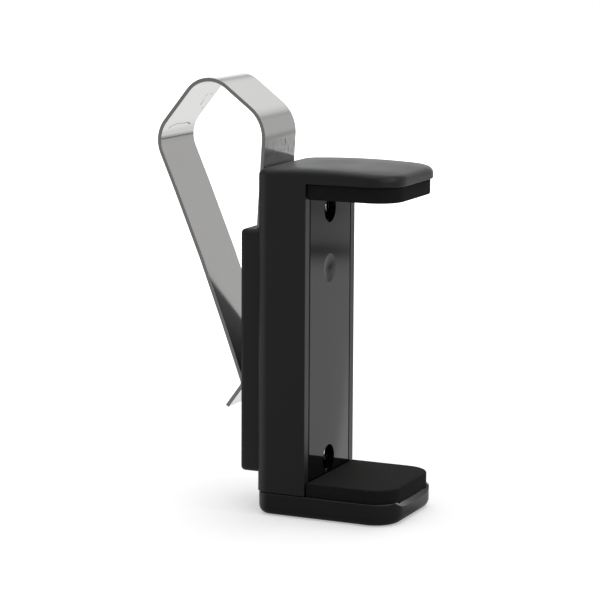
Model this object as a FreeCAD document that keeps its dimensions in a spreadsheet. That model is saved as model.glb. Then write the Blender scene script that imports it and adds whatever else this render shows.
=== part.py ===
import FreeCAD, Part
import math
import os
import Sketcher

V = FreeCAD.Vector
tolerance = 1e-4
sketch_origin = (-1, 1)
start_point, end_point, centre_point = range(1, 4)

# Sun visor phone holder: a column with a fixed upper jaw, a sprung slide that carries
# the lower jaw, and a bent steel strip at the back that grips the visor.
# The column stands upright: X across, -Y towards the phone, +Z up, the foot on Z = 0.

doc = FreeCAD.newDocument("visor_phone_holder")

sizes = {
    "column_width": 27.0,
    "column_depth": 12.0,
    "column_back_radius": 3.0,
    "edge_break": 0.25,
    "jaw_reach": 20.6,
    "jaw_corner_radius": 6.5,
    "cap_thickness": 3.1,
    "crown_drop": 0.7,
    "crown_peak": -3.5,
    "cap_edge_radius": 1.4,
    "base_height": 5.0,
    "base_back_inset": 0.25,
    "base_edge_radius": 2.0,
    "seam_gap": 0.2,
    "phone_gap": 62.0,
    "travel": 28.0,
    "pad_thickness": 3.4,
    "pad_inset": 0.6,
    "pad_seat": 0.5,
    "pad_clearance": 0.1,
    "pad_back_gap": 0.1,
    "lip_width": 2.3,
    "lip_depth": 0.85,
    "groove_reach": 1.2,
    "groove_height": 1.2,
    "side_wall": 2.5,
    "back_wall": 2.0,
    "channel_roof": 1.1,
    "slide_clearance": 0.15,
    "plate_recess": 0.1,
    "plate_end_gap": 1.0,
    "plate_hole": 6.2,
    "rib_width": 1.0,
    "rib_depth": 4.5,
    "rib_side_gap": 0.6,
    "lower_peg_rise": 3.0,
    "upper_peg_drop": 3.3,
    "peg_diameter": 2.5,
    "peg_end_gap": 0.4,
    "spring_spacing": 8.8,
    "spring_outer": 4.6,
    "spring_wire": 0.7,
    "spring_turns": 18,
    "spring_flats": 8,
    "spring_plate_gap": 0.15,
    "catch_screw_gap": 2.6,
    "catch_width": 3.0,
    "catch_height": 4.0,
    "slide_catch_depth": 4.6,
    "column_catch_depth": 5.5,
    "stop_gap": 0.1,
    "sink_mark_width": 6.3,
    "sink_mark_depth": 0.07,
    "block_width": 20.0,
    "block_depth": 5.05,
    "block_rise": 8.5,
    "block_height": 53.8,
    "block_edge_radius": 1.0,
    "clip_width": 16.0,
    "clip_thickness": 0.55,
    "clip_setback": 1.3,
    "clip_slot_clearance": 0.1,
    "clip_leg_length": 18.0,
    "shoulder_rise": 9.5,
    "shoulder_lean": 1.55,
    "apex_rise": 20.85,
    "apex_back": 14.7,
    "heel_rise": 5.1,
    "heel_back": 27.3,
    "contact_rise": 19.1,
    "tail_back": 3.9,
    "tail_drop": 5.1,
    "leg_bow": 0.85,
    "lean_radius": 8.0,
    "shoulder_radius": 8.5,
    "apex_radius": 7.0,
    "heel_radius": 7.3,
    "contact_radius": 1.0,
    "screw_diameter": 2.6,
    "screw_length": 6.0,
    "screw_head": 4.6,
    "screw_head_height": 1.6,
    "screw_clearance": 0.1,
    "recess_length": 2.6,
    "recess_width": 0.6,
    "recess_depth": 0.9,
    "screw_inset": 6.0,
}

sheet = doc.addObject("Spreadsheet::Sheet", "sizes")
for row, (alias, size) in enumerate(sizes.items(), start=1):
    sheet.set(f"A{row}", alias)
    sheet.set(f"B{row}", str(size))
    sheet.setAlias(f"B{row}", alias)
doc.recompute()

# Levels and places that follow from the driving sizes
derived = {
    "half_width": "sizes.column_width / 2",
    "column_bottom": "sizes.base_height + sizes.seam_gap",
    "base_back": "sizes.column_depth - sizes.base_back_inset",
    "lower_pad_bottom": "sizes.base_height - sizes.pad_seat",
    "lower_pad_top": "lower_pad_bottom + sizes.pad_thickness",
    "upper_pad_bottom": "lower_pad_top + sizes.phone_gap",
    "cap_underside": "upper_pad_bottom + sizes.pad_thickness",
    "column_top": "cap_underside + sizes.cap_thickness",
    "crown_run": "sizes.jaw_reach + sizes.crown_peak",
    "crown_radius": "(crown_run ^ 2 / sizes.crown_drop + sizes.crown_drop) / 2",
    "crown_back_run": "sizes.column_depth - sizes.crown_peak",
    "crown_back_drop": "crown_radius - sqrt(crown_radius ^ 2 - crown_back_run ^ 2)",
    "channel_top": "cap_underside - sizes.channel_roof",
    "cavity_back": "sizes.column_depth - sizes.back_wall",
    "cavity_half": "half_width - sizes.side_wall",
    "opening_half": "half_width - sizes.lip_width",
    "groove_half": "opening_half + sizes.groove_reach",
    "groove_back": "sizes.lip_depth + sizes.groove_height",
    "plate_half": "opening_half - sizes.slide_clearance",
    "flange_half": "groove_half - sizes.slide_clearance",
    "flange_front": "sizes.lip_depth + sizes.slide_clearance",
    "plate_back": "groove_back - sizes.slide_clearance",
    "plate_top": "channel_top - sizes.plate_end_gap",
    "rib_outer": "cavity_half - sizes.rib_side_gap",
    "rib_inner": "rib_outer - sizes.rib_width",
    "rib_back": "plate_back + sizes.rib_depth",
    "pad_half": "half_width - sizes.pad_inset",
    "pad_tip": "sizes.pad_inset - sizes.jaw_reach",
    "pad_back": "-sizes.pad_back_gap",
    "pad_corner": "sizes.jaw_corner_radius - sizes.pad_inset",
    "seat_half": "pad_half + sizes.pad_clearance",
    "seat_tip": "pad_tip - sizes.pad_clearance",
    "seat_back": "pad_back + sizes.pad_clearance",
    "seat_corner": "pad_corner + sizes.pad_clearance",
    "lower_peg": "lower_pad_top + sizes.lower_peg_rise",
    "upper_peg": "upper_pad_bottom - sizes.upper_peg_drop",
    "spring_side": "sizes.spring_spacing / 2",
    "block_half": "sizes.block_width / 2",
    "block_top": "sizes.block_rise + sizes.block_height",
    "block_back": "sizes.column_depth + sizes.block_depth",
    "lower_screw": "sizes.block_rise + sizes.screw_inset",
    "upper_screw": "block_top - sizes.screw_inset",
    "screw_hole": "sizes.screw_diameter + 2 * sizes.screw_clearance",
    "screw_end": "cavity_back + sizes.screw_length",
    "screw_head_front": "cavity_back - sizes.screw_head_height",
    "column_catch_foot": "lower_screw + sizes.screw_head / 2 + sizes.catch_screw_gap",
    "column_catch": "column_catch_foot + sizes.catch_height",
    "column_catch_tip": "cavity_back - sizes.column_catch_depth",
    "slide_catch": "column_catch + sizes.stop_gap + sizes.travel",
    "slide_catch_tip": "plate_back + sizes.slide_catch_depth",
    "sink_half": "sizes.sink_mark_width / 2",
    "sink_radius": "(sink_half ^ 2 / sizes.sink_mark_depth + sizes.sink_mark_depth) / 2",
    "leg_front": "sizes.column_depth + sizes.clip_setback",
    "leg_bottom": "block_top - sizes.clip_leg_length",
    "slot_half": "sizes.clip_width / 2 + sizes.clip_slot_clearance",
    "slot_front": "leg_front - sizes.clip_slot_clearance",
    "slot_back": "leg_front + sizes.clip_thickness + sizes.clip_slot_clearance",
    "slot_bottom": "leg_bottom - sizes.clip_slot_clearance",
}

levels = doc.addObject("App::VarSet", "levels")
for name, formula in derived.items():
    levels.addProperty("App::PropertyFloat", name)
    levels.setExpression(name, formula)
doc.recompute()


# The measure of a driving size or of a derived level
def measure(name):
    if name in sizes:
        return float(sheet.get(name))
    return getattr(levels, name)


def new_body(label):
    body = doc.addObject("PartDesign::Body", label)
    body.Label = label
    return body


# A sketch on one of the body's own origin planes, moved along the plane's normal
def sketch_on(body, name, role, offset="0"):
    sketch = body.newObject("Sketcher::SketchObject", name)
    plane = next(feature for feature in body.Origin.OriginFeatures if feature.Role == role)
    sketch.AttachmentSupport = [(plane, "")]
    sketch.MapMode = "FlatFace"
    sketch.setExpression("AttachmentOffset.Base.z", offset)
    return sketch


# Ties a sketch point to two formulas, measured from the sketch's origin
def tie_point(sketch, geometry, vertex, across, up):
    place = sketch.getPoint(geometry, vertex)
    for kind, now, formula in (("DistanceX", place.x, across), ("DistanceY", place.y, up)):
        index = sketch.addConstraint(Sketcher.Constraint(kind, *sketch_origin, geometry, vertex, now))
        sketch.setExpression(f"Constraints[{index}]", formula)


# Joins the end of one sketch line to the start of the next
def join(sketch, line, following):
    sketch.addConstraint(Sketcher.Constraint("Coincident", line, end_point, following, start_point))


# A closed outline of straight lines through points that are pairs of formulas
def polygon(sketch, points):
    count = len(points)
    turn = 2 * math.pi / count
    start = [V(math.cos(i * turn), math.sin(i * turn), 0) for i in range(count)]
    first = sketch.GeometryCount
    for i in range(count):
        sketch.addGeometry(Part.LineSegment(start[i], start[(i + 1) % count]), False)
    for i in range(count):
        join(sketch, first + i, first + (i + 1) % count)
    for i, (across, up) in enumerate(points):
        tie_point(sketch, first + i, start_point, across, up)


def rectangle(sketch, left, right, low, high):
    polygon(sketch, [(left, low), (right, low), (right, high), (left, high)])


# A plan with two rounded tip corners, from the levels named after the piece
def tip_rounded_plan(sketch, piece):
    parts = ("half", "tip", "back", "corner")
    half, tip, back, corner = (measure(f"{piece}_{part}") for part in parts)
    h, t, b, c = (f"levels.{piece}_{part}" for part in parts)
    bulge = corner * (1 - math.cos(math.pi / 4))
    spots = [
        (V(half, back, 0), h, b),
        (V(-half, back, 0), f"-{h}", b),
        (V(-half, tip + corner, 0), f"-{h}", f"{t} + {c}"),
        (V(corner - half, tip, 0), f"{c} - {h}", t),
        (V(half - corner, tip, 0), f"{h} - {c}", t),
        (V(half, tip + corner, 0), h, f"{t} + {c}"),
    ]
    arc_middles = {2: V(bulge - half, tip + bulge, 0), 4: V(half - bulge, tip + bulge, 0)}
    count = len(spots)
    for i in range(count):
        start, end = spots[i][0], spots[(i + 1) % count][0]
        line = Part.Arc(start, arc_middles[i], end) if i in arc_middles else Part.LineSegment(start, end)
        sketch.addGeometry(line, False)
    for i, (_, across, up) in enumerate(spots):
        join(sketch, i, (i + 1) % count)
        tie_point(sketch, i, start_point, across, up)
    for i in arc_middles:
        index = sketch.addConstraint(Sketcher.Constraint("Radius", i, corner))
        sketch.setExpression(f"Constraints[{index}]", c)


def circle(sketch, across, up, diameter):
    geometry = sketch.addGeometry(Part.Circle(V(1, 1, 0), V(0, 0, 1), 1.0), False)
    tie_point(sketch, geometry, centre_point, across, up)
    index = sketch.addConstraint(Sketcher.Constraint("Diameter", geometry, 2.0))
    sketch.setExpression(f"Constraints[{index}]", diameter)


# A pad or pocket of the sketch, and a stop if it leaves the body's volume as it was
def extrude(body, kind, sketch, name, length, reverse=False, midplane=False):
    before = body.Shape.Volume if body.Tip else 0.0
    feature = body.newObject(f"PartDesign::{kind}", name)
    feature.Profile = sketch
    feature.Reversed = reverse
    feature.Midplane = midplane
    feature.setExpression("Length", length)
    doc.recompute()
    change = feature.Shape.Volume - before
    if change * (1 if kind == "Pad" else -1) <= 0:
        raise ValueError(f"{body.Label}: {name} changes nothing")
    return feature


# Names of the edges that a test picks
def edge_names(feature, test):
    return [f"Edge{i}" for i, edge in enumerate(feature.Shape.Edges, start=1) if test(edge)]


def round_edges(body, feature, name, radius, test):
    fillet = body.newObject("PartDesign::Fillet", name)
    fillet.Base = (feature, edge_names(feature, test))
    fillet.setExpression("Radius", radius)
    doc.recompute()
    return fillet


def near(a, b):
    return abs(a - b) < tolerance


# Tests for upright edges at a place in plan, and for edges that lie level at a height
def upright_at(x, y):
    return lambda edge: near(edge.BoundBox.XLength, 0) and all(
        near(abs(v.X), x) and near(v.Y, y) for v in edge.Vertexes)


def level_at(z):
    return lambda edge: near(edge.BoundBox.ZMin, z) and near(edge.BoundBox.ZMax, z)


# The plan that the jaws share, from the tip to the given back
def jaw_plan(body, name, offset, back):
    sketch = sketch_on(body, name, "XY_Plane", offset)
    rectangle(sketch, "-levels.half_width", "levels.half_width", "-sizes.jaw_reach", back)
    return sketch


# Rounds the upright corners of a jaw, widely at the tip and less at the back
def round_plan(body, feature, back):
    half = measure("half_width")
    tip = round_edges(
        body, feature, "tip_corners", "sizes.jaw_corner_radius", upright_at(half, -measure("jaw_reach")))
    return round_edges(body, tip, "back_corners", "sizes.column_back_radius", upright_at(half, back))


# Two pegs for the spring hooks, standing on a plane that faces along Y
def spring_pegs(body, plane, height, length, reverse):
    sketch = sketch_on(body, "peg_circles", "XZ_Plane", f"-{plane}")
    for side in ("-levels.spring_side", "levels.spring_side"):
        circle(sketch, side, height, "sizes.peg_diameter")
    extrude(body, "Pad", sketch, "spring_pegs", length, reverse=reverse)


# Column and upper jaw: one moulding with a crowned cap and a channel for the slide
def column_shell():
    body = new_body("column_shell")
    plan = sketch_on(body, "column_plan", "XY_Plane", "levels.column_bottom")
    rectangle(plan, "-levels.half_width", "levels.half_width", "0", "sizes.column_depth")
    column = extrude(body, "Pad", plan, "column", "levels.column_top - levels.column_bottom")
    round_edges(body, column, "front_edges", "sizes.edge_break", upright_at(measure("half_width"), 0))
    cap_plan = jaw_plan(body, "cap_plan", "levels.cap_underside", "sizes.column_depth")
    cap = extrude(body, "Pad", cap_plan, "cap", "sizes.cap_thickness")
    round_plan(body, cap, measure("column_depth"))
    crown = sketch_on(body, "crown_line", "YZ_Plane")
    peak, top, radius = measure("crown_peak"), measure("column_top"), measure("crown_radius")
    drop, back_drop = measure("crown_drop"), measure("crown_back_drop")
    back_turn, front_turn = (math.asin(measure(run) / radius) for run in ("crown_back_run", "crown_run"))
    arc = Part.Circle(V(peak, top - radius, 0), V(0, 0, 1), radius)
    crown.addGeometry(Part.ArcOfCircle(arc, math.pi / 2 - back_turn, math.pi / 2 + front_turn), False)
    tip, back = -measure("jaw_reach"), measure("column_depth")
    corners = [
        V(tip, top - drop, 0),
        V(tip, top + drop, 0),
        V(back, top + drop, 0),
        V(back, top - back_drop, 0),
    ]
    for start, end in zip(corners, corners[1:]):
        crown.addGeometry(Part.LineSegment(start, end), False)
    for line in range(crown.GeometryCount):
        join(crown, line, (line + 1) % crown.GeometryCount)
    high = "levels.column_top + sizes.crown_drop"
    tie_point(crown, 1, start_point, "-sizes.jaw_reach", "levels.column_top - sizes.crown_drop")
    tie_point(crown, 2, start_point, "-sizes.jaw_reach", high)
    tie_point(crown, 3, start_point, "sizes.column_depth", high)
    tie_point(crown, 3, end_point, "sizes.column_depth", "levels.column_top - levels.crown_back_drop")
    index = crown.addConstraint(Sketcher.Constraint("Radius", 0, radius))
    crown.setExpression(f"Constraints[{index}]", "levels.crown_radius")
    crowned = extrude(body, "Pocket", crown, "crown", "sizes.column_width", midplane=True)
    shoulder = top - drop - measure("cap_edge_radius") / 2
    soft = round_edges(
        body, crowned, "cap_edges", "sizes.cap_edge_radius", lambda edge: edge.BoundBox.ZMin > shoulder)
    under = measure("cap_underside")
    round_edges(
        body, soft, "cap_rim", "sizes.edge_break",
        lambda edge: level_at(under)(edge) and edge.BoundBox.YMin < -measure("edge_break"))
    channel = sketch_on(body, "channel_section", "XY_Plane", "levels.column_bottom")
    right = [
        ("levels.opening_half", "-sizes.lip_depth"),
        ("levels.opening_half", "sizes.lip_depth"),
        ("levels.groove_half", "sizes.lip_depth"),
        ("levels.groove_half", "levels.groove_back"),
        ("levels.cavity_half", "levels.groove_back"),
        ("levels.cavity_half", "levels.cavity_back"),
    ]
    left = [("-" + across, up) for across, up in reversed(right)]
    polygon(channel, right + left)
    extrude(body, "Pocket", channel, "channel", "levels.channel_top - levels.column_bottom", reverse=True)
    spring_pegs(
        body, "levels.cavity_back", "levels.upper_peg",
        "levels.cavity_back - levels.plate_back - sizes.peg_end_gap", False)
    catch = sketch_on(body, "catch_profile", "YZ_Plane")
    polygon(catch, [
        ("levels.cavity_back", "levels.column_catch"),
        ("levels.column_catch_tip", "levels.column_catch"),
        ("levels.cavity_back", "levels.column_catch - sizes.catch_height"),
    ])
    extrude(body, "Pad", catch, "travel_catch", "sizes.catch_width", midplane=True)
    holes = sketch_on(body, "screw_hole_circles", "XZ_Plane", "-levels.cavity_back")
    for height in ("levels.lower_screw", "levels.upper_screw"):
        circle(holes, "0", height, "levels.screw_hole")
    extrude(body, "Pocket", holes, "screw_holes", "sizes.back_wall")
    return body


# Lower jaw and slide plate: one moulding, the plate's flanges run in the column's grooves
def lower_jaw_slide():
    body = new_body("lower_jaw_slide")
    base_plan = jaw_plan(body, "base_plan", "0", "levels.base_back")
    base = extrude(body, "Pad", base_plan, "base", "sizes.base_height")
    rounded = round_plan(body, base, measure("base_back"))
    foot = round_edges(body, rounded, "foot_edges", "sizes.base_edge_radius", level_at(0))
    round_edges(body, foot, "base_rim", "sizes.edge_break", level_at(measure("base_height")))
    seat = sketch_on(body, "seat_plan", "XY_Plane", "sizes.base_height")
    tip_rounded_plan(seat, "seat")
    extrude(body, "Pocket", seat, "pad_seat", "sizes.pad_seat")
    section = sketch_on(body, "plate_section", "XY_Plane", "sizes.base_height")
    right = [
        ("levels.plate_half", "sizes.plate_recess"),
        ("levels.plate_half", "levels.flange_front"),
        ("levels.flange_half", "levels.flange_front"),
        ("levels.flange_half", "levels.plate_back"),
        ("levels.rib_outer", "levels.plate_back"),
        ("levels.rib_outer", "levels.rib_back"),
        ("levels.rib_inner", "levels.rib_back"),
        ("levels.rib_inner", "levels.plate_back"),
    ]
    left = [("-" + across, up) for across, up in reversed(right)]
    polygon(section, right + left)
    extrude(body, "Pad", section, "plate", "levels.plate_top - sizes.base_height")
    holes = sketch_on(body, "plate_hole_circles", "XZ_Plane", "-sizes.plate_recess")
    for height in ("levels.lower_peg", "levels.upper_peg"):
        circle(holes, "0", height, "sizes.plate_hole")
    extrude(body, "Pocket", holes, "plate_holes", "levels.plate_back - sizes.plate_recess")
    sink = body.newObject("PartDesign::SubtractiveSphere", "sink_mark")
    plane = next(feature for feature in body.Origin.OriginFeatures if feature.Role == "XZ_Plane")
    sink.AttachmentSupport = [(plane, "")]
    sink.MapMode = "FlatFace"
    sink.setExpression("Radius", "levels.sink_radius")
    sink.setExpression("AttachmentOffset.Base.y", "levels.slide_catch + sizes.catch_height / 2")
    sink.setExpression(
        "AttachmentOffset.Base.z", "levels.sink_radius - sizes.sink_mark_depth - sizes.plate_recess")
    doc.recompute()
    spring_pegs(
        body, "levels.plate_back", "levels.lower_peg",
        "levels.cavity_back - levels.plate_back - sizes.peg_end_gap", True)
    catch = sketch_on(body, "catch_profile", "YZ_Plane")
    polygon(catch, [
        ("levels.plate_back", "levels.slide_catch"),
        ("levels.slide_catch_tip", "levels.slide_catch"),
        ("levels.plate_back", "levels.slide_catch + sizes.catch_height"),
    ])
    extrude(body, "Pad", catch, "travel_catch", "sizes.catch_width", midplane=True)
    return body


# A foam pad on a jaw, cut from sheet to the jaw's plan
def jaw_pad(label, bottom):
    body = new_body(label)
    plan = sketch_on(body, "pad_plan", "XY_Plane", bottom)
    tip_rounded_plan(plan, "pad")
    extrude(body, "Pad", plan, "pad", "sizes.pad_thickness")
    return body


# Block behind the column, with a slot that takes the strip's straight leg
def rear_block():
    body = new_body("rear_block")
    face = sketch_on(body, "block_face", "XZ_Plane", "-sizes.column_depth")
    rectangle(face, "-levels.block_half", "levels.block_half", "sizes.block_rise", "levels.block_top")
    block = extrude(body, "Pad", face, "block", "sizes.block_depth", reverse=True)
    front = measure("column_depth")
    round_edges(
        body, block, "block_edges", "sizes.block_edge_radius",
        lambda edge: edge.BoundBox.YMax > front + measure("block_edge_radius"))
    slot = sketch_on(body, "slot_plan", "XY_Plane", "levels.block_top")
    rectangle(slot, "-levels.slot_half", "levels.slot_half", "levels.slot_front", "levels.slot_back")
    extrude(body, "Pocket", slot, "clip_slot", "levels.block_top - levels.slot_bottom")
    holes = sketch_on(body, "pilot_circles", "XZ_Plane", "-sizes.column_depth")
    for height in ("levels.lower_screw", "levels.upper_screw"):
        circle(holes, "0", height, "levels.screw_hole")
    extrude(
        body, "Pocket", holes, "pilot_holes",
        "levels.screw_end + sizes.screw_clearance - sizes.column_depth")
    return body


# A wire in the YZ plane: straight runs joined by tangent arcs
def rounded_path(points, radii):
    edges = []
    last = points[0]
    for before, corner, after, radius in zip(points, points[1:], points[2:], radii):
        into = (before - corner).normalize()
        out = (after - corner).normalize()
        half_angle = into.getAngle(out) / 2
        run = radius / math.tan(half_angle)
        start, end = corner + into * run, corner + out * run
        bisector = (into + out).normalize()
        centre = corner + bisector * (radius / math.sin(half_angle))
        edges.append(Part.LineSegment(last, start).toShape())
        edges.append(Part.Arc(start, centre - bisector * radius, end).toShape())
        last = end
    edges.append(Part.LineSegment(last, points[-1]).toShape())
    return Part.Wire(edges)


# Steel strip: up from the block, over the top in three bends, and down to press on the block
def visor_clip():
    width, thickness = measure("clip_width"), measure("clip_thickness")
    depth, top = measure("column_depth"), measure("column_top")
    side = -width / 2
    foot = V(side, measure("leg_front"), measure("leg_bottom"))
    lean = V(side, measure("leg_front"), measure("block_top"))
    shoulder = V(side, measure("leg_front") - measure("shoulder_lean"), top + measure("shoulder_rise"))
    apex = V(side, depth + measure("apex_back"), top + measure("apex_rise"))
    heel = V(side, depth + measure("heel_back"), top + measure("heel_rise"))
    contact = V(side, measure("block_back") + thickness, measure("block_rise") + measure("contact_rise"))
    tail = contact + V(0, measure("tail_back"), -measure("tail_drop"))
    chord = heel - contact
    inward = V(1, 0, 0).cross(chord).normalize()
    bow = (heel + contact) / 2 + inward * measure("leg_bow")
    turn = 2 * math.atan(2 * measure("leg_bow") / chord.Length)
    bow_run = chord.Length / 4
    radii = [
        measure("lean_radius"),
        measure("shoulder_radius"),
        measure("apex_radius"),
        measure("heel_radius"),
        bow_run / math.tan(turn / 2),
        measure("contact_radius"),
    ]
    path = rounded_path([foot, lean, shoulder, apex, heel, bow, contact, tail], radii)
    section = path.makeOffset2D(thickness, fill=True, openResult=True)
    strip = section.extrude(V(width, 0, 0))
    drill_radius, drill_length = measure("screw_hole") / 2, 3 * thickness
    drill_start = V(0, measure("leg_front") - thickness, measure("upper_screw"))
    strip = strip.cut(Part.makeCylinder(drill_radius, drill_length, drill_start, V(0, 1, 0)))
    piece = doc.addObject("Part::Feature", "visor_clip")
    piece.Label = "visor_clip"
    piece.Shape = strip.Solids[0]
    return piece


# Square sections along the wire of a tension spring: lower hook, coil, upper hook
def spring_sections(axis, hand, hook_low, hook_high):
    radius = (measure("spring_outer") - measure("spring_wire")) / 2
    flats = round(measure("spring_flats"))
    step = 2 * math.pi / flats
    front = V(0, -1, 0)
    hook_line = V(axis.x, axis.y - radius, 0)
    sections = []
    for i in range(1 - flats, 0):
        out = V(hand * math.sin(i * step), 0, math.cos(i * step))
        sections.append((hook_line + V(0, 0, hook_low) + out * radius, out, front))
    turns = round(measure("spring_turns"))
    start, end = hook_low + radius, hook_high - radius
    for i in range(turns * flats + 1):
        out = V(hand * math.sin(i * step), -math.cos(i * step), 0)
        height = start + (end - start) * i / (turns * flats)
        sections.append((V(axis.x, axis.y, height) + out * radius, V(0, 0, 1), out))
    for i in range(1, flats):
        inward = V(-hand * math.sin(i * step), 0, math.cos(i * step))
        sections.append((hook_line + V(0, 0, hook_high) - inward * radius, inward, front))
    return sections


# Tension spring drawn with flats around each turn and a square wire, wound left or right
def tension_spring(label, hand):
    half_wire = measure("spring_wire") / 2
    setback = measure("plate_back") + measure("spring_plate_gap") + measure("spring_outer") / 2
    axis = V(hand * measure("spring_side"), setback, 0)
    rings = []
    for centre, across, out in spring_sections(axis, hand, measure("lower_peg"), measure("upper_peg")):
        a, b = across * half_wire, out * half_wire
        rings.append([centre - a - b, centre + a - b, centre + a + b, centre - a + b])
    faces = [Part.Face(Part.makePolygon(ring + ring[:1])) for ring in (rings[0], rings[-1])]
    for first, second in zip(rings, rings[1:]):
        for i in range(4):
            j = (i + 1) % 4
            for triangle in ([first[i], first[j], second[j]], [first[i], second[j], second[i]]):
                faces.append(Part.Face(Part.makePolygon(triangle + triangle[:1])))
    wire = Part.makeSolid(Part.makeShell(faces))
    if wire.Volume < 0:
        wire.reverse()
    piece = doc.addObject("Part::Feature", label)
    piece.Label = label
    piece.Shape = wire
    return piece


# Self-tapping screw with a cross recess: from inside the column into the block,
# the upper one through the strip
def clip_screw(label, height):
    face_along_y = FreeCAD.Rotation(V(1, 0, 0), -90)
    cylinders = []
    for name, radius, length, start in (
        ("shank", "sizes.screw_diameter / 2", "sizes.screw_length", "levels.cavity_back"),
        ("head", "sizes.screw_head / 2", "sizes.screw_head_height", "levels.screw_head_front"),
    ):
        cylinder = doc.addObject("Part::Cylinder", f"{label}_{name}")
        cylinder.Placement = FreeCAD.Placement(V(0, 0, 0), face_along_y)
        cylinder.setExpression("Radius", radius)
        cylinder.setExpression("Height", length)
        cylinder.setExpression("Placement.Base.y", start)
        cylinder.setExpression("Placement.Base.z", height)
        cylinders.append(cylinder)
    blank = doc.addObject("Part::Fuse", f"{label}_blank")
    blank.Base, blank.Tool = cylinders
    bars = []
    for name, across, up in (("level_bar", "length", "width"), ("upright_bar", "width", "length")):
        bar = doc.addObject("Part::Box", f"{label}_{name}")
        bar.setExpression("Length", f"sizes.recess_{across}")
        bar.setExpression("Width", "sizes.recess_depth")
        bar.setExpression("Height", f"sizes.recess_{up}")
        bar.setExpression("Placement.Base.x", f"-sizes.recess_{across} / 2")
        bar.setExpression("Placement.Base.y", "levels.screw_head_front")
        bar.setExpression("Placement.Base.z", f"{height} - sizes.recess_{up} / 2")
        bars.append(bar)
    cross = doc.addObject("Part::Fuse", f"{label}_cross")
    cross.Base, cross.Tool = bars
    screw = doc.addObject("Part::Cut", label)
    screw.Label = label
    screw.Base, screw.Tool = blank, cross
    return screw


pieces = [
    column_shell(),
    lower_jaw_slide(),
    jaw_pad("upper_jaw_pad", "levels.upper_pad_bottom"),
    jaw_pad("lower_jaw_pad", "levels.lower_pad_bottom"),
    tension_spring("left_spring", -1),
    tension_spring("right_spring", 1),
    rear_block(),
    visor_clip(),
    clip_screw("upper_clip_screw", "levels.upper_screw"),
    clip_screw("lower_clip_screw", "levels.lower_screw"),
]
doc.recompute()

for thing in doc.Objects:
    if "Invalid" in thing.State or "Error" in thing.State:
        raise ValueError(f"{thing.Label} failed to build")
for piece in pieces:
    if piece.Shape.isNull() or not piece.Shape.isValid() or len(piece.Shape.Solids) != 1:
        raise ValueError(f"{piece.Label} is not one sound solid")

os.makedirs("parts", exist_ok=True)
for piece in pieces:
    piece.Shape.exportStep(f"parts/{piece.Label}.step")
    print(f"{piece.Label}: {piece.Shape.Volume:.1f} mm3")
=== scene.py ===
import bpy
import math
import numpy as np
from mathutils import Matrix, Vector


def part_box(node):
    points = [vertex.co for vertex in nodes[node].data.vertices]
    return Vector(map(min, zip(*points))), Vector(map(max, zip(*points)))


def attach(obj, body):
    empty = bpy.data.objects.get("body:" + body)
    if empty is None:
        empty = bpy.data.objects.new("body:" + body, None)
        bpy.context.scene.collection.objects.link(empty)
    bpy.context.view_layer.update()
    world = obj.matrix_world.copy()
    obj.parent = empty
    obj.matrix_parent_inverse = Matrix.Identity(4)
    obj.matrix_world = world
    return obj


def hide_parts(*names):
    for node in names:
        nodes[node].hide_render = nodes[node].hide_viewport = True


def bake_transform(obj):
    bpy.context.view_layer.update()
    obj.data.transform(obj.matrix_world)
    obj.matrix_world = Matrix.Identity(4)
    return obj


# Sun visor phone holder: moulded column and jaws, foam pads, springs and a bent steel strip
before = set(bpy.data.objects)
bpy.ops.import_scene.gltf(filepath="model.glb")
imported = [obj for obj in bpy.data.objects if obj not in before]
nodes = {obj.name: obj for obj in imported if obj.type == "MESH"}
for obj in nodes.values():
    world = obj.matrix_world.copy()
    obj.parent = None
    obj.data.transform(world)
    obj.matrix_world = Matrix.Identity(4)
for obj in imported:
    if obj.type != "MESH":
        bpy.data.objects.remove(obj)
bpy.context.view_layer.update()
mm = 0.001
print("frame:", len(nodes), "nodes")


# sRGB hex to linear: channel / 12.92 near black, ((channel + 0.055) / 1.055) to the power 2.4 above
def linearColour(code):
    channel = np.array([int(code[i:i + 2], 16) for i in (1, 3, 5)]) / 255
    linear = np.where(channel <= 0.04045, channel / 12.92, ((channel + 0.055) / 1.055) ** 2.4)
    return (*linear.tolist(), 1.0)


# Adds one node: inputs are values or sockets to link from, settings are the node's own attributes
def addNode(tree, kind, inputs=None, **settings):
    node = tree.nodes.new(kind)
    for name, value in settings.items():
        setattr(node, name, value)
    for key, value in (inputs or {}).items():
        if isinstance(value, bpy.types.NodeSocket):
            tree.links.new(value, node.inputs[key])
        else:
            node.inputs[key].default_value = value
    return node


# A new material's tree, emptied but for its output
def newMaterial(name):
    material = bpy.data.materials.new(name)
    material.use_nodes = True
    tree = material.node_tree
    tree.nodes.clear()
    output = addNode(tree, "ShaderNodeOutputMaterial")
    return material, tree, output.inputs["Surface"]


# Noise over Object coordinates, or a place given, stretched to a grain size in millimetres along three axes
def grainNoise(tree, grain, detail=2.0, place=None):
    place = place or addNode(tree, "ShaderNodeTexCoord").outputs["Object"]
    scale = tuple(1 / (size * mm) for size in grain)
    stretched = addNode(tree, "ShaderNodeMapping", {"Vector": place, "Scale": scale}).outputs[0]
    noise = addNode(tree, "ShaderNodeTexNoise", {"Vector": stretched, "Scale": 1.0, "Detail": detail})
    return noise.outputs[0]


# Black ABS moulded in a fine-eroded steel tool: a satin skin that spreads its reflections. Sizes are in
# millimetres; the dome is the cap's top, flat from low to high in X and Y, above a height
satinAbsLook = {
    "name": "satinMouldedAbs", "colour": "#131417", "roughness": (0.36, 0.46), "grain": 0.45, "cloud": 9.0,
    "relief": 0.004, "strength": 0.35,
    "dome": {"from": 74.0, "low": (-4.6, -10.5), "high": (4.6, 30.0), "run": 7.4, "slope": 0.15},
}
blockAbsLook = {**satinAbsLook, "name": "dullMouldedAbs", "roughness": (0.5, 0.6)}


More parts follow.
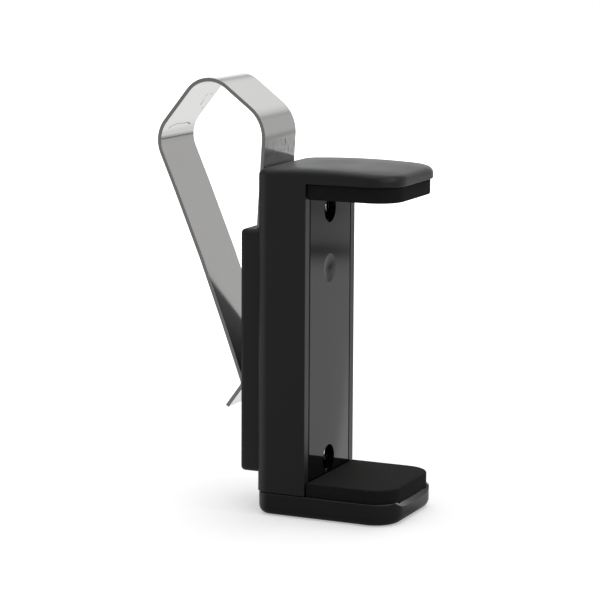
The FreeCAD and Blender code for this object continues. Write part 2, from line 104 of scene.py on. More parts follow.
# A slightly domed cap: the normal leans outwards by slope times the square of (way off the flat / run), and by
# how far the face looks up
def domedNormal(tree, dome):
    place = addNode(tree, "ShaderNodeTexCoord").outputs["Object"]
    facing = addNode(tree, "ShaderNodeNewGeometry").outputs["Normal"]
    tall = 1000.0  # the flat has no limit in height
    low, high = Vector((*dome["low"], -tall)) * mm, Vector((*dome["high"], tall)) * mm
    raised = addNode(tree, "ShaderNodeVectorMath", {0: place, 1: low}, operation="MAXIMUM").outputs[0]
    flat = addNode(tree, "ShaderNodeVectorMath", {0: raised, 1: high}, operation="MINIMUM").outputs[0]
    off = addNode(tree, "ShaderNodeVectorMath", {0: place, 1: flat}, operation="SUBTRACT").outputs[0]
    away = addNode(tree, "ShaderNodeVectorMath", {0: off}, operation="LENGTH").outputs["Value"]
    up = addNode(tree, "ShaderNodeSeparateXYZ", {0: facing}).outputs["Z"]
    height = addNode(tree, "ShaderNodeSeparateXYZ", {0: place}).outputs["Z"]
    onCap = addNode(
        tree, "ShaderNodeMath", {0: height, 1: dome["from"] * mm}, operation="GREATER_THAN").outputs[0]
    upward = addNode(tree, "ShaderNodeMath", {0: up, 1: onCap}, operation="MULTIPLY").outputs[0]
    fall = addNode(tree, "ShaderNodeMath", {0: away, 1: upward}, operation="MULTIPLY").outputs[0]
    rate = dome["slope"] / (dome["run"] * mm) ** 2
    steep = addNode(tree, "ShaderNodeMath", {0: fall, 1: rate}, operation="MULTIPLY").outputs[0]
    lean = addNode(tree, "ShaderNodeVectorMath", {0: off, "Scale": steep}, operation="SCALE").outputs[0]
    leaning = addNode(tree, "ShaderNodeVectorMath", {0: facing, 1: lean}, operation="ADD").outputs[0]
    return addNode(tree, "ShaderNodeVectorMath", {0: leaning}, operation="NORMALIZE").outputs[0]


def makeSatinAbs(look):
    material, tree, surface = newMaterial(look["name"])
    grain = grainNoise(tree, (look["grain"],) * 3)  # 0.1 mm in life, drawn coarser so that it shows
    cloud = grainNoise(tree, (look["cloud"],) * 3)
    smooth, dull = look["roughness"]
    roughness = addNode(tree, "ShaderNodeMapRange", {0: cloud, 3: smooth, 4: dull})
    bump = addNode(tree, "ShaderNodeBump", {
        "Strength": look["strength"], "Distance": look["relief"] * mm, "Height": grain,
        "Normal": domedNormal(tree, look["dome"])})
    shader = addNode(tree, "ShaderNodeBsdfPrincipled", {
        "Base Color": linearColour(look["colour"]), "Roughness": roughness.outputs[0],
        "Normal": bump.outputs[0]})
    tree.links.new(shader.outputs[0], surface)
    return material


# Black ABS slide: the plate comes off a polished tool face and mirrors, the jaw below is satin. A shallow sink
# mark bends what it mirrors. Its sheen fades out along the plate's left edge by the lip: painted shade for the
# gap.
polishedAbsLook = {
    "colour": "#0d0d0e", "plateRoughness": 0.07, "jawRoughness": 0.22, "plateFoot": 5.1,
    "wave": 11.0, "relief": 0.006, "strength": 0.5, "gapShade": (-10.15, -10.55), "sheen": (0.5, 0.0),
    "mark": {"height": 53.5, "radius": 3.15, "slope": (0.04, 0.0, 0.05), "lean": 0.022},
}


# The normal of the sink mark, a bowl on the plate's front: it tilts inwards by slope times (way off the middle /
# radius), and leans a little up as a whole
def sunkNormal(tree, place, mark):
    geometry = addNode(tree, "ShaderNodeNewGeometry").outputs
    radius = mark["radius"] * mm
    middle = (0.0, 0.0, mark["height"] * mm)
    front, inPlane = (0.0, -1.0, 0.0), (1.0, 0.0, 1.0)
    off = addNode(tree, "ShaderNodeVectorMath", {0: place, 1: middle}, operation="SUBTRACT").outputs[0]
    flat = addNode(tree, "ShaderNodeVectorMath", {0: off, 1: inPlane}, operation="MULTIPLY").outputs[0]
    away = addNode(tree, "ShaderNodeVectorMath", {0: flat}, operation="LENGTH").outputs["Value"]
    inMark = addNode(tree, "ShaderNodeMath", {0: away, 1: radius}, operation="LESS_THAN").outputs[0]
    forward = addNode(
        tree, "ShaderNodeVectorMath", {0: geometry["True Normal"], 1: front}, operation="DOT_PRODUCT")
    inFront = addNode(tree, "ShaderNodeMath", {0: forward.outputs["Value"], 1: inMark}, operation="MULTIPLY")
    steepness = tuple(-slope / radius for slope in mark["slope"])
    tilted = addNode(tree, "ShaderNodeVectorMath", {
        0: flat, 1: steepness, 2: (0.0, -1.0, mark["lean"])}, operation="MULTIPLY_ADD").outputs[0]
    bowl = addNode(tree, "ShaderNodeVectorMath", {0: tilted}, operation="NORMALIZE").outputs[0]
    facing = addNode(tree, "ShaderNodeMix", {
        0: inFront.outputs[0], 4: geometry["Normal"], 5: bowl}, data_type="VECTOR")
    return facing.outputs[1]


def makePolishedAbs(look):
    material, tree, surface = newMaterial("polishedMouldedAbs")
    place = addNode(tree, "ShaderNodeTexCoord").outputs["Object"]
    x, _, height = addNode(tree, "ShaderNodeSeparateXYZ", {0: place}).outputs
    foot = look["plateFoot"] * mm
    onPlate = addNode(tree, "ShaderNodeMath", {0: height, 1: foot}, operation="GREATER_THAN").outputs[0]
    # Painted shade: the sheen falls to nothing in a strip along the plate's left edge, where the gap by the lip
    # is in shadow
    inner, outer = (edge * mm for edge in look["gapShade"])
    inGapShade = addNode(tree, "ShaderNodeMapRange", {0: x, 1: inner, 2: outer}).outputs[0]
    dull = addNode(tree, "ShaderNodeMath", {0: inGapShade, 1: onPlate}, operation="MULTIPLY").outputs[0]
    clear, gone = look["sheen"]
    sheen = addNode(tree, "ShaderNodeMapRange", {0: dull, 3: clear, 4: gone})
    roughness = addNode(tree, "ShaderNodeMapRange", {
        0: onPlate, 3: look["jawRoughness"], 4: look["plateRoughness"]})
    wave = grainNoise(tree, (look["wave"],) * 3, 1.0)
    bump = addNode(tree, "ShaderNodeBump", {
        "Strength": look["strength"], "Distance": look["relief"] * mm, "Height": wave,
        "Normal": sunkNormal(tree, place, look["mark"])})
    shader = addNode(tree, "ShaderNodeBsdfPrincipled", {
        "Base Color": linearColour(look["colour"]), "Roughness": roughness.outputs[0],
        "Specular IOR Level": sheen.outputs[0], "Normal": bump.outputs[0]})
    tree.links.new(shader.outputs[0], surface)
    return material


# Closed-cell black foam, cut from sheet: dull, with fine open cells on every face
padFoamLook = {"colours": ("#100f0e", "#191817"), "roughness": 0.92, "sheen": 0.25, "cell": 0.5,
               "relief": 0.035, "strength": 0.6}


def makePadFoam(look):
    material, tree, surface = newMaterial("cutClosedCellFoam")
    place = addNode(tree, "ShaderNodeTexCoord").outputs["Object"]
    fineness = 1 / (look["cell"] * mm)
    cells = addNode(tree, "ShaderNodeTexVoronoi", {"Vector": place, "Scale": fineness}).outputs[0]
    bump = addNode(tree, "ShaderNodeBump", {
        "Strength": look["strength"], "Distance": look["relief"] * mm, "Height": cells})
    dark, pale = (linearColour(code) for code in look["colours"])
    mix = addNode(tree, "ShaderNodeMix", {0: cells, 6: dark, 7: pale}, data_type="RGBA")
    shader = addNode(tree, "ShaderNodeBsdfPrincipled", {
        "Base Color": mix.outputs[2], "Roughness": look["roughness"],
        "Specular IOR Level": look["sheen"], "Normal": bump.outputs[0]})
    tree.links.new(shader.outputs[0], surface)
    return material


# Stainless spring strip, bright-rolled: clear reflections, faint rolling lines, dull eased edges, a few scuffs,
# two dark lines across the inner face near the heel and a patchy dark band across the outer face. Places are in
# the strip's unbent millimetres, across it and along it from its foot. Scuffs and lines are listed by their
# depth in from the outer face, each from one place to another with its reach
stripSteelLook = {
    "colours": ("#d5d2d2", "#d3d4d2"), "tint": 7.0, "roughness": (0.07, 0.13), "line": (0.18, 40.0, 40.0),
    "relief": 0.0006, "strength": 0.4, "edgeColour": "#b2b1af", "edgeRoughness": 0.34, "edgeFrom": 0.02,
    "markColour": "#4f4b48", "waver": 0.3, "waverSize": 0.8,
    "scuffsAndLines": {
        # Inner face: five short scuffs, then two dark lines across it near the heel, a curved one in six pieces
        # and a straight one
        0.85: [(5.4, 65.5, 5.6, 66.0, 0.2), (3.4, 65.5, 3.1, 66.2, 0.22), (3.6, 67.1, 3.8, 68.0, 0.16),
               (3.8, 68.0, 3.9, 68.9, 0.22), (6.3, 69.8, 6.0, 70.1, 0.18), (-5.0, 74.8, -4.5, 74.4, 0.2),
               (-4.5, 74.4, -2.6, 73.95, 0.12), (-2.6, 73.95, -0.3, 73.9, 0.12), (-0.3, 73.9, 1.5, 74.1, 0.1),
               (1.5, 74.1, 3.9, 74.2, 0.12), (3.9, 74.2, 5.2, 74.7, 0.22), (-8.0, 77.3, 8.0, 77.3, 0.1)],
        0.0: [(2.3, 36.6, 2.9, 35.8, 0.25), (4.2, 34.4, 4.4, 33.8, 0.25)],
    },
    "patchyBand": {"start": (-7.0, 34.6, 0.0), "end": (7.0, 34.6, 0.0), "reach": 2.6, "patch": 1.5,
              "patchEdges": (0.45, 0.75), "share": 0.45},
}


# Share of a stroke at a place: 1 within the core of the segment from start to end, fading to 0 at its reach
def stroke(tree, place, start, end, reach, core=0.3):
    a, b = Vector(start) * mm, Vector(end) * mm
    run = b - a
    off = addNode(tree, "ShaderNodeVectorMath", {0: place, 1: a}, operation="SUBTRACT").outputs[0]
    along = addNode(
        tree, "ShaderNodeVectorMath", {0: off, 1: run / run.length_squared}, operation="DOT_PRODUCT")
    share = addNode(tree, "ShaderNodeClamp", {0: along.outputs["Value"]}).outputs[0]
    foot = addNode(tree, "ShaderNodeVectorMath", {0: run, "Scale": share}, operation="SCALE").outputs[0]
    away = addNode(tree, "ShaderNodeVectorMath", {0: off, 1: foot}, operation="DISTANCE").outputs["Value"]
    return addNode(tree, "ShaderNodeMapRange", {0: away, 1: reach * mm, 2: core * reach * mm}).outputs[0]


# All marks together: the patchy dark band in its stroke, and the strongest scuff or line at each place, drawn
# unevenly
def darkMarks(tree, place, look):
    fineness = 1 / (look["waverSize"] * mm)
    waver = addNode(tree, "ShaderNodeTexNoise", {"Vector": place, "Scale": fineness}).outputs["Color"]
    shift = addNode(tree, "ShaderNodeVectorMath", {0: waver, 1: (0.5,) * 3}, operation="SUBTRACT").outputs[0]
    moved = addNode(tree, "ShaderNodeVectorMath", {
        0: shift, 1: (look["waver"] * mm,) * 3, 2: place}, operation="MULTIPLY_ADD").outputs[0]
    patchyBand = look["patchyBand"]
    patches = grainNoise(tree, (patchyBand["patch"],) * 3, 3.0, place)
    bare, full = patchyBand["patchEdges"]
    patchy = addNode(tree, "ShaderNodeMapRange", {0: patches, 1: bare, 2: full, 4: patchyBand["share"]}).outputs[0]
    inBand = stroke(tree, place, patchyBand["start"], patchyBand["end"], patchyBand["reach"])
    marks = addNode(tree, "ShaderNodeMath", {0: patchy, 1: inBand}, operation="MULTIPLY").outputs[0]
    for depth, scuffsAndLines in look["scuffsAndLines"].items():
        for x0, y0, x1, y1, reach in scuffsAndLines:
            mark = stroke(tree, moved, (x0, y0, depth), (x1, y1, depth), reach)
            marks = addNode(tree, "ShaderNodeMath", {0: mark, 1: marks}, operation="MAXIMUM").outputs[0]
    return marks


def makeStripSteel(look):
    material, tree, surface = newMaterial("brightRolledStainless")
    place = addNode(tree, "ShaderNodeAttribute", attribute_name="unbent").outputs["Vector"]
    lines = grainNoise(tree, look["line"], 3.0, place)
    tint = grainNoise(tree, (look["tint"],) * 3, 2.0, place)
    cool, warm = (linearColour(code) for code in look["colours"])
    steel = addNode(tree, "ShaderNodeMix", {0: tint, 6: cool, 7: warm}, data_type="RGBA").outputs[2]
    marked = addNode(tree, "ShaderNodeMix", {
        0: darkMarks(tree, place, look), 6: steel, 7: linearColour(look["markColour"])}, data_type="RGBA")
    facing = addNode(tree, "ShaderNodeNewGeometry").outputs["True Normal"]
    across = addNode(
        tree, "ShaderNodeVectorMath", {0: facing, 1: (1.0, 0.0, 0.0)}, operation="DOT_PRODUCT").outputs["Value"]
    squared = addNode(tree, "ShaderNodeMath", {0: across, 1: across}, operation="MULTIPLY").outputs[0]
    onEdge = addNode(
        tree, "ShaderNodeMath", {0: squared, 1: look["edgeFrom"]}, operation="GREATER_THAN").outputs[0]
    colour = addNode(tree, "ShaderNodeMix", {
        0: onEdge, 6: marked.outputs[2], 7: linearColour(look["edgeColour"])}, data_type="RGBA")
    smooth, dull = look["roughness"]
    rolled = addNode(tree, "ShaderNodeMapRange", {0: lines, 3: smooth, 4: dull}).outputs[0]
    roughness = addNode(tree, "ShaderNodeMix", {0: onEdge, 2: rolled, 3: look["edgeRoughness"]})
    bump = addNode(tree, "ShaderNodeBump", {
        "Strength": look["strength"], "Distance": look["relief"] * mm, "Height": lines})
    shader = addNode(tree, "ShaderNodeBsdfPrincipled", {
        "Base Color": colour.outputs[2], "Metallic": 1.0,
        "Roughness": roughness.outputs[0], "Normal": bump.outputs[0]})
    tree.links.new(shader.outputs[0], surface)
    return material


# Spring wire, drawn bright through a die: sharp glints along it. Zinc-plated screws: a soft, mottled grey sheen
springWireLook = {"name": "drawnSpringWire", "colour": "#dadad8", "roughness": (0.08, 0.16), "grain": 0.8}
zincScrewLook = {"name": "zincPlatedSteel", "colour": "#b4b8bd", "roughness": (0.28, 0.42), "grain": 0.6}


def makeSmallSteel(look):
    material, tree, surface = newMaterial(look["name"])
    mottle = grainNoise(tree, (look["grain"],) * 3)
    smooth, dull = look["roughness"]
    roughness = addNode(tree, "ShaderNodeMapRange", {0: mottle, 3: smooth, 4: dull})
    shader = addNode(tree, "ShaderNodeBsdfPrincipled", {
        "Base Color": linearColour(look["colour"]), "Metallic": 1.0, "Roughness": roughness.outputs[0]})
    tree.links.new(shader.outputs[0], surface)
    return material


satinAbs = makeSatinAbs(satinAbsLook)
blockAbs = makeSatinAbs(blockAbsLook)
polishedAbs = makePolishedAbs(polishedAbsLook)
padFoam = makePadFoam(padFoamLook)
stripSteel = makeStripSteel(stripSteelLook)
springSteel = makeSmallSteel(springWireLook)
screwSteel = makeSmallSteel(zincScrewLook)
finishes = {
    "column_shell": satinAbs, "rear_block": blockAbs, "lower_jaw_slide": polishedAbs,
    "upper_clip_screw": screwSteel, "lower_clip_screw": screwSteel,
}
for name, material in finishes.items():
    nodes[name].data.materials.clear()
    nodes[name].data.materials.append(material)
print("materials:", len(bpy.data.materials))


# Joins rings of points into a mesh: quads between neighbouring rings, one face closing each end
def ringMesh(name, rings, material):
    count, around, _ = rings.shape
    start = np.arange(count - 1)[:, None] * around
    here = np.arange(around)[None, :]
    there = (here + 1) % around
    quads = np.stack([start + here, start + there, start + there + around, start + here + around], axis=-1)
    faces = quads.reshape(-1, 4).tolist()
    faces.append(list(range(around))[::-1])
    faces.append(list(range((count - 1) * around, count * around)))
    mesh = bpy.data.meshes.new(name)
    mesh.from_pydata(rings.reshape(-1, 3).tolist(), [], faces)
    mesh.shade_smooth()
    mesh.materials.append(material)
    piece = bpy.data.objects.new(name, mesh)
    bpy.context.scene.collection.objects.link(piece)
    return piece


# Foam pad: the jaw's plan, drawn in by the cut edge's rounding towards its two faces, in rings from face to
# face; sizes in millimetres
padShape = {"tipRadius": 5.9, "backRadius": 0.3, "leastRadius": 0.2, "edgeRadius": 0.3, "arcSteps": 14,
            "edgeSteps": 5, "faceInsets": (1.2, 2.6, 4.4)}


# Rounded oblong: four corner arcs about centres drawn in by each corner's own radius
def padOutline(low, high, inset, shape):
    x0, y0, x1, y1 = low[0] + inset, low[1] + inset, high[0] - inset, high[1] - inset
    tip, back = (max(shape[key] * mm - inset, shape["leastRadius"] * mm) for key in ("tipRadius", "backRadius"))
    turn = np.linspace(0, math.pi / 2, shape["arcSteps"])
    corners = [(x1 - back, y1 - back, back, 0), (x0 + back, y1 - back, back, 1),
               (x0 + tip, y0 + tip, tip, 2), (x1 - tip, y0 + tip, tip, 3)]
    arcs = []
    for cx, cy, radius, quarter in corners:
        angle = turn + quarter * math.pi / 2
        arcs.append(np.stack([cx + radius * np.cos(angle), cy + radius * np.sin(angle)], axis=-1))
    return np.concatenate(arcs)


def makePad(name, node, body, shape):
    low, high = (np.array(corner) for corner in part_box(node))
    radius = shape["edgeRadius"] * mm
    turn = np.linspace(0, math.pi / 2, shape["edgeSteps"])
    edge = list(zip(radius * (1 - np.sin(turn)), radius * (1 - np.cos(turn))))  # inset, and depth from the face
    face = [(inset * mm, 0.0) for inset in reversed(shape["faceInsets"])]
    lower = [(inset, low[2] + depth) for inset, depth in face + edge]
    upper = [(inset, high[2] - depth) for inset, depth in reversed(face + edge)]
    rings = []
    for inset, height in lower + upper:
        outline = padOutline(low, high, inset, shape)
        rings.append(np.column_stack([outline, np.full(len(outline), height)]))
    pad = ringMesh(name, np.array(rings), padFoam)
    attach(pad, body)
    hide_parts(node)
    return pad


makePad("upper_foam_pad", "upper_jaw_pad", "column", padShape)
makePad("lower_foam_pad", "lower_jaw_pad", "slide", padShape)
print("pads: foam cut to the jaws")

# Tension spring: a circle of wire carried round a hook, up a helix and round a second hook. The hooks are
# circles that stand across the front of the coil, hookShare of a turn each
springShape = {"wire": 0.7, "turns": 38, "stepsPerTurn": 20, "sides": 8, "hookShare": 0.92}


def makeSpring(name, node, hand, shape):
    low, high = (np.array(corner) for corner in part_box(node))
    wire = shape["wire"] * mm / 2
    axisX, axisY = (low[0] + high[0]) / 2, (low[1] + high[1]) / 2
    coil = (high[1] - low[1]) / 2 - wire
    hookLow, hookHigh = low[2] + coil + wire, high[2] - coil - wire
    turn = np.linspace(-2 * math.pi * shape["hookShare"], 0, shape["stepsPerTurn"])[:-1]
    zero = np.zeros_like(turn)
    lowOut = np.stack([hand * np.sin(turn), zero, np.cos(turn)], axis=-1)
    lowPath = np.array([axisX, axisY - coil, hookLow]) + lowOut * coil
    wind = np.linspace(0, 2 * math.pi * shape["turns"], shape["turns"] * shape["stepsPerTurn"] + 1)
    share = wind / wind[-1]
    coilOut = np.stack([hand * np.sin(wind), -np.cos(wind), np.zeros_like(wind)], axis=-1)
    rise = hookLow + coil + (hookHigh - hookLow - 2 * coil) * share
    coilPath = np.stack([axisX + coilOut[:, 0] * coil, axisY + coilOut[:, 1] * coil, rise], axis=-1)
    highOut = np.stack([-hand * np.sin(turn), zero, -np.cos(turn)], axis=-1)[::-1]
    highPath = np.array([axisX, axisY - coil, hookHigh]) + highOut * coil
    path = np.concatenate([lowPath, coilPath, highPath])
    across = np.concatenate([lowOut, np.tile([0.0, 0.0, 1.0], (len(wind), 1)), -highOut])
    front = np.tile([0.0, -1.0, 0.0], (len(turn), 1))
    out = np.concatenate([front, coilOut, front])
    around = np.linspace(0, 2 * math.pi, shape["sides"], endpoint=False)
    rings = path[:, None] + wire * (
        np.cos(around)[None, :, None] * across[:, None] + np.sin(around)[None, :, None] * out[:, None])
    spring = ringMesh(name, rings if hand < 0 else rings[:, ::-1], springSteel)
    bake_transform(spring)
    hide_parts(node)
    return spring


makeSpring("left_coil_spring", "left_spring", -1, springShape)
makeSpring("right_coil_spring", "right_spring", 1, springShape)
print("springs: wound")

# Steel strip: a thin section carried along a line of straight runs and bends, its outer face that of the CAD
# solid; corners give a place in Y and Z and a bend radius in millimetres, bendStep is in degrees
stripShape = {
    "width": 16.0, "thickness": 0.85, "edgeRadius": 0.1, "edgeSteps": 3, "bendStep": 3.0,
    "corners": [(13.2, 44.3, 0.0), (13.2, 62.3, 8.0), (11.75, 85.9, 8.5), (26.7, 97.25, 7.0),
                (39.3, 81.5, 7.3), (27.66, 54.87, 496.0), (17.75, 27.6, 1.0), (21.5, 22.5, 0.0)],
}


# Points along the line with outward normals: in a bend the heading turns evenly from one run's to the next's
def bentLine(shape):
    spots, radii = np.array(shape["corners"])[:, :2], np.array(shape["corners"])[1:-1, 2]
    runs = np.diff(spots, axis=0)
    headings = np.unwrap(np.arctan2(runs[:, 1], runs[:, 0]))
    points, turned = [spots[0]], [headings[0]]
    for spot, radius, into, out in zip(spots[1:], radii, headings, headings[1:]):
        steps = max(2, math.ceil(math.degrees(abs(out - into)) / shape["bendStep"]))
        heading = np.linspace(into, out, steps + 1)
        start = spot - radius * math.tan(abs(out - into) / 2) * np.array([math.cos(into), math.sin(into)])
        swing = np.stack([np.sin(heading) - math.sin(into), math.cos(into) - np.cos(heading)], axis=-1)
        points.extend(start + math.copysign(radius, out - into) * swing)
        turned.extend(heading)
    points.append(spots[-1])
    turned.append(headings[-1])
    return np.array(points), np.stack([-np.sin(turned), np.cos(turned)], axis=-1)


# Section points as across and inward, with their normals: a quarter circle at each of the four corners
def stripSection(shape):
    half, radius = shape["width"] / 2 - shape["edgeRadius"], shape["edgeRadius"]
    turn = np.linspace(0, math.pi / 2, shape["edgeSteps"] + 1)
    angles = np.concatenate([turn + k * math.pi / 2 for k in range(4)])
    sides = np.repeat([(1, 1), (-1, 1), (-1, 0), (1, 0)], len(turn), axis=0)
    facing = np.stack([np.cos(angles), np.sin(angles)], axis=-1)
    inward = radius + sides[:, 1] * (shape["thickness"] - 2 * radius)
    centre = np.stack([sides[:, 0] * half, inward], axis=-1)
    return centre + radius * facing, facing


# Each ring is the section set across X and in from the line; unbent keeps its place on the flat stock
def makeStrip(name, node, shape):
    line, outward = bentLine(shape)
    section, facing = stripSection(shape)
    along = np.concatenate([[0.0], np.cumsum(np.linalg.norm(np.diff(line, axis=0), axis=1))])
    around = len(section)
    grid = (len(line), around, 1)
    yz = line[:, None] - section[None, :, 1:] * outward[:, None]
    across, inward = (np.broadcast_to(section[None, :, k:k + 1], grid) for k in (0, 1))
    strip = ringMesh(name, np.concatenate([across, yz], axis=-1) * mm, stripSteel)
    mesh = strip.data
    unbent = np.concatenate([across, np.broadcast_to(along[:, None, None], grid), inward], axis=-1) * mm
    mesh.attributes.new("unbent", "FLOAT_VECTOR", "POINT").data.foreach_set("vector", unbent.ravel())
    sideways = np.broadcast_to(facing[None, :, :1], grid)
    normals = np.concatenate([sideways, -facing[None, :, 1:] * outward[:, None]], axis=-1)
    corners = np.empty(len(mesh.loops), dtype=int)
    mesh.loops.foreach_get("vertex_index", corners)
    shown = normals.reshape(-1, 3)[corners]
    shown[-2 * around:-around] = mesh.polygons[-2].normal  # the two cut ends stay flat
    shown[-around:] = mesh.polygons[-1].normal
    mesh.normals_split_custom_set(shown.tolist())
    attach(strip, "column")
    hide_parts(node)
    return strip


makeStrip("bent_steel_strip", "visor_clip", stripShape)
print("strip: bent")

# Camera at the photograph's angle, in degrees and millimetres
cameraSet = {"place": (-497.2, -217.6, 139.3), "azimuth": -65.67, "elevation": 9.725, "roll": 0.3,
             "lens": 151.03, "sensor": 36.0, "nearest": 10.0}


def makeCamera(settings):
    a, e, r = (math.radians(settings[key]) for key in ("azimuth", "elevation", "roll"))
    back = Vector((math.sin(a) * math.cos(e), -math.cos(a) * math.cos(e), math.sin(e)))
    level = Vector((math.cos(a), math.sin(a), 0))
    upright = back.cross(level)
    right = math.cos(r) * level + math.sin(r) * upright
    up = math.cos(r) * upright - math.sin(r) * level
    data = bpy.data.cameras.new("photoCamera")
    data.lens, data.sensor_width = settings["lens"], settings["sensor"]
    data.clip_start = settings["nearest"] * mm
    camera = bpy.data.objects.new("photoCamera", data)
    turned = Matrix((right, up, back)).transposed().to_4x4()
    camera.matrix_world = Matrix.Translation(Vector(settings["place"]) * mm) @ turned
    bpy.context.scene.collection.objects.link(camera)
    bpy.context.scene.camera = camera


makeCamera(cameraSet)

# Studio: a white sweep behind the holder, dimmer screens to its right and left, a fourth beside the camera that
# only the room has, a soft lamp high behind, and a pale floor with a painted shadow that darkens it towards the
# holder and a painted shade along a runner that only reflections see. Edges are angles in degrees, outer then
# inner; reaches are in metres, with the level there; a runner's shade is near, far and depth
studio = {
    "side": 0.24, "overhead": 0.7, "overheadRise": (0.4, 0.9), "underHorizon": 0.5,
    "screens": [
        {"turn": 26.0, "edges": (46.0, 30.0), "floorEdges": (50.0, 46.0), "top": (27.0, 10.0)},
        {"turn": -30.0, "edges": (55.0, 20.0), "floorEdges": (55.0, 20.0), "top": (32.0, 14.0)},
        {"turn": 118.0, "edges": (30.0, 6.0), "floorEdges": (30.0, 6.0), "top": (45.0, 15.0)},
        {"turn": -118.0, "edges": (32.0, 16.0), "top": (40.0, 28.0)},
    ],
    "inWorld": (1.25, 0.535, 0.6, 1.1), "onFloor": (0.58, 0.6),
    "sweepNear": (0.19, 0.93), "sweepFar": (0.24, 0.8),
    # The runner: a painted shade on the floor that only reflections see
    "runner": {"turn": -24.3, "half": 0.022, "shades": [(0.31, 0.4, 0.42), (0.45, 0.5, 0.17)],
               "band": (0.377, 0.018, 0.5)},
    "glow": {"turn": -2.0, "rise": 42.0, "edges": (36.0, 10.0), "level": 0.98},
    # The floor's glow to the camera dips near the holder: a painted shadow
    "floorColour": "#efefef", "floorSize": 4.0, "floorLift": 0.39, "paintedShadowLift": 0.37,
    "paintedShadowReach": (0.02, 0.3),
}


# Light from a direction: each screen is full inside its inner angles and fades to the side level at its outer
# ones, and the brightest counts
def screenLight(tree, direction, look, levels, edges):
    unit = addNode(tree, "ShaderNodeVectorMath", {0: direction}, operation="NORMALIZE").outputs[0]
    height = addNode(tree, "ShaderNodeSeparateXYZ", {0: unit}).outputs["Z"]
    flat = addNode(tree, "ShaderNodeVectorMath", {0: unit, 1: (1.0, 1.0, 0.0)}, operation="MULTIPLY")
    heading = addNode(tree, "ShaderNodeVectorMath", {0: flat.outputs[0]}, operation="NORMALIZE")
    light = look["side"]
    for screen, level in zip(look["screens"], levels):
        a = math.radians(screen["turn"])
        towards = addNode(
            tree, "ShaderNodeVectorMath", {0: heading.outputs[0], 1: (math.cos(a), math.sin(a), 0.0)},
            operation="DOT_PRODUCT")
        outer, inner = (math.cos(math.radians(edge)) for edge in screen[edges])
        along = addNode(
            tree, "ShaderNodeMapRange", {0: towards.outputs["Value"], 1: outer, 2: inner},
            interpolation_type="SMOOTHSTEP").outputs[0]
        upper, lower = (math.sin(math.radians(edge)) for edge in screen["top"])
        below = addNode(
            tree, "ShaderNodeMapRange", {0: height, 1: upper, 2: lower},
            interpolation_type="SMOOTHSTEP").outputs[0]
        share = addNode(tree, "ShaderNodeMath", {0: along, 1: below}, operation="MULTIPLY").outputs[0]
        lit = addNode(tree, "ShaderNodeMapRange", {0: share, 3: look["side"], 4: level}).outputs[0]
        light = addNode(tree, "ShaderNodeMath", {0: lit, 1: light}, operation="MAXIMUM").outputs[0]
    return light


# The room's light: the screens, mixed into the overhead level as the ray rises, or the lamp where it is brighter
def makeWorld(look):
    world = bpy.data.worlds.new("studioSweep")
    bpy.context.scene.world = world
    world.use_nodes = True
    tree = world.node_tree
    tree.nodes.clear()
    ray = addNode(tree, "ShaderNodeTexCoord").outputs["Generated"]
    height = addNode(tree, "ShaderNodeSeparateXYZ", {0: ray}).outputs["Z"]
    fromRise, fullRise = look["overheadRise"]
    high = addNode(
        tree, "ShaderNodeMapRange", {0: height, 1: fromRise, 2: fullRise}, interpolation_type="SMOOTHSTEP")
    around = screenLight(tree, ray, look, look["inWorld"], "edges")
    lit = addNode(tree, "ShaderNodeMix", {0: high.outputs[0], 2: around, 3: look["overhead"]})
    glow = look["glow"]
    turn, rise = math.radians(glow["turn"]), math.radians(glow["rise"])
    centre = (math.cos(turn) * math.cos(rise), math.sin(turn) * math.cos(rise), math.sin(rise))
    nearing = addNode(tree, "ShaderNodeVectorMath", {0: ray, 1: centre}, operation="DOT_PRODUCT")
    outer, inner = (math.cos(math.radians(edge)) for edge in glow["edges"])
    lamp = addNode(
        tree, "ShaderNodeMapRange", {0: nearing.outputs["Value"], 1: outer, 2: inner, 4: glow["level"]},
        interpolation_type="SMOOTHSTEP")
    bright = addNode(tree, "ShaderNodeMath", {0: lit.outputs[0], 1: lamp.outputs[0]}, operation="MAXIMUM")
    under = addNode(tree, "ShaderNodeMath", {0: height, 1: 0.0}, operation="LESS_THAN")
    room = addNode(tree, "ShaderNodeMix", {
        0: under.outputs[0], 2: bright.outputs[0], 3: look["underHorizon"]})
    seen = addNode(tree, "ShaderNodeLightPath").outputs["Is Camera Ray"]
    strength = addNode(tree, "ShaderNodeMix", {0: seen, 2: room.outputs[0], 3: 1.0})
    background = addNode(tree, "ShaderNodeBackground", {
        "Color": (1.0, 1.0, 1.0, 1.0), "Strength": strength.outputs[0]})
    output = addNode(tree, "ShaderNodeOutputWorld")
    tree.links.new(background.outputs[0], output.inputs["Surface"])


# Bell curve: e to the power of minus the square of (value - middle) / reach
def bell(tree, value, middle, reach):
    off = addNode(tree, "ShaderNodeMath", {0: value, 1: middle}, operation="SUBTRACT").outputs[0]
    share = addNode(tree, "ShaderNodeMath", {0: off, 1: reach}, operation="DIVIDE").outputs[0]
    squared = addNode(tree, "ShaderNodeMath", {0: share, 1: share}, operation="MULTIPLY").outputs[0]
    minus = addNode(tree, "ShaderNodeMath", {0: squared, 1: -1.0}, operation="MULTIPLY").outputs[0]
    return addNode(tree, "ShaderNodeMath", {0: minus}, operation="EXPONENT").outputs[0]


